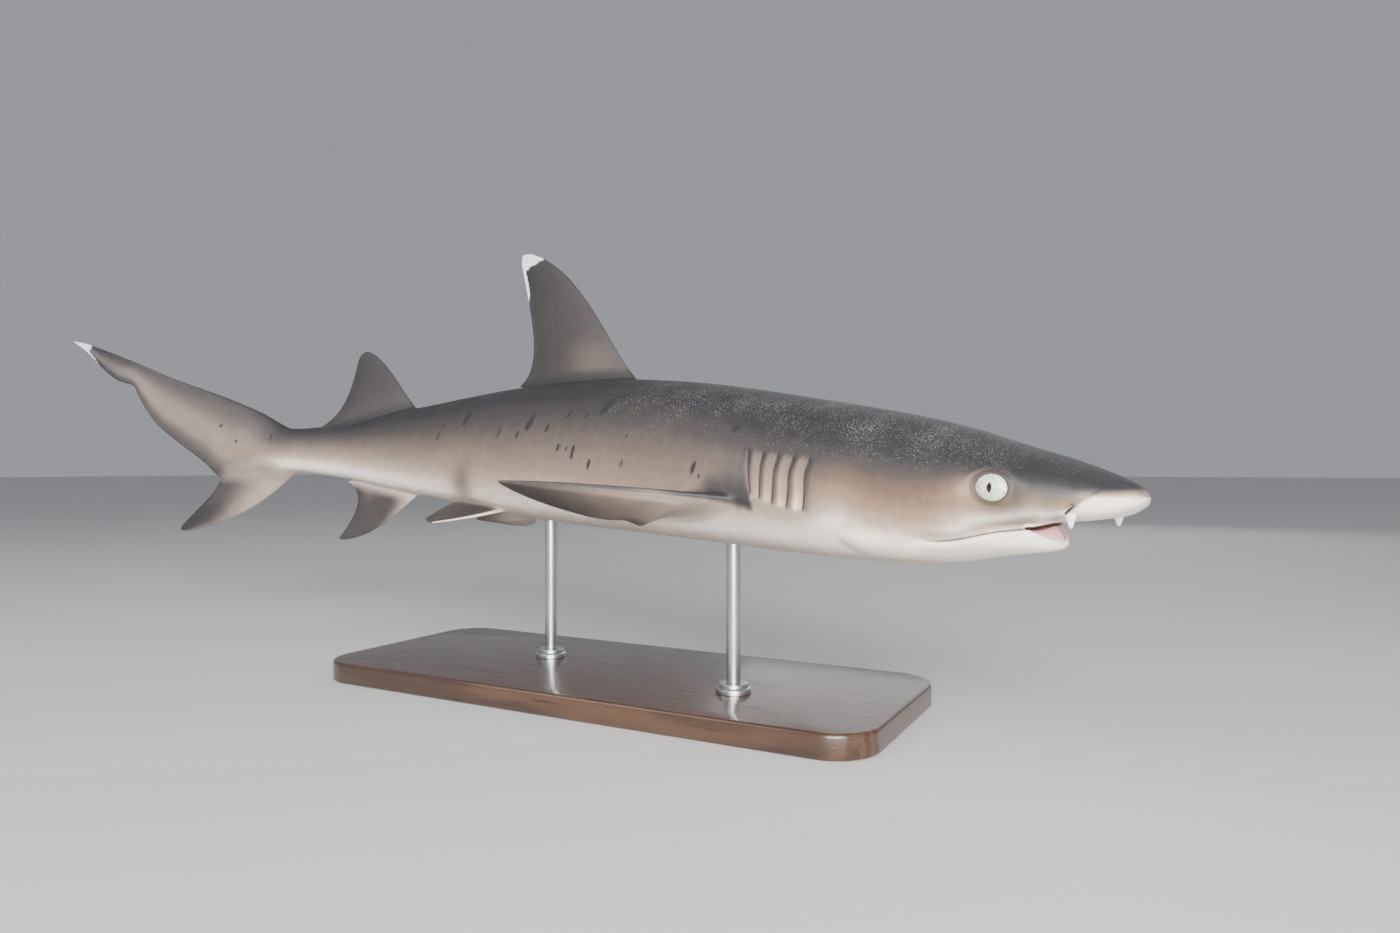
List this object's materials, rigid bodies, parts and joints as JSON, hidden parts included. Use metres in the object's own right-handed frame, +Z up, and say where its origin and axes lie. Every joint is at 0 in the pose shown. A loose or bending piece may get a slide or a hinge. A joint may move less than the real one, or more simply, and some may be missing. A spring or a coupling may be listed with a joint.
{
  "type": "whitetip reef shark model",
  "caption": "Life-size swimming whitetip reef shark, body curved to one side, with fins, eyes, gill slits and open mouth, on a flat base with two rods.",
  "frame": {"origin": "centre of the stand base's flat underside, on the surface it stands on", "axes": "+X level along the animal from tail tip to snout, +Y level towards its left side, +Z up"},
  "size_m": [1.1719, 0.3878, 0.4341],
  "materials": {
    "skin_body": "shark skin: fine denticles, satin, faintly rough; slate grey-brown above, pale below, with small dark spots",
    "skin_head": "shark skin: fine denticles, satin, faintly rough; grey-brown above, tan cheek, white throat",
    "skin_fins": "shark skin: fine denticles, satin, faintly rough; first dorsal and upper tail lobe tipped white",
    "skin_pale": "shark skin: fine denticles, satin, faintly rough; white underside of snout and jaw",
    "eye": "wet gloss, pale greenish-white iris with an upright slit pupil",
    "mouth_lining": "moist pink",
    "base_wood": "dark stained and lacquered",
    "rod_steel": "satin"
  },
  "bodies": {
    "root": {"head": "skin_head", "gill_region": "skin_head", "lower_jaw": "skin_pale", "nasal_flap_left": "skin_pale", "nasal_flap_right": "skin_pale", "tongue": "mouth_lining", "trunk": "skin_body", "tail_stock": "skin_body", "eye_left": "eye", "eye_right": "eye", "stand_base": "base_wood", "first_dorsal_fin": "skin_fins", "second_dorsal_fin": "skin_fins", "anal_fin": "skin_fins", "tail_fin_upper_lobe": "skin_fins", "tail_fin_lower_lobe": "skin_fins", "pectoral_fin_left": "skin_fins", "pectoral_fin_right": "skin_fins", "pelvic_fin_left": "skin_fins", "pelvic_fin_right": "skin_fins", "stand_collar_front": "rod_steel", "stand_collar_rear": "rod_steel", "stand_rod_front": "rod_steel", "stand_rod_rear": "rod_steel"}
  },
  "joints": []
}
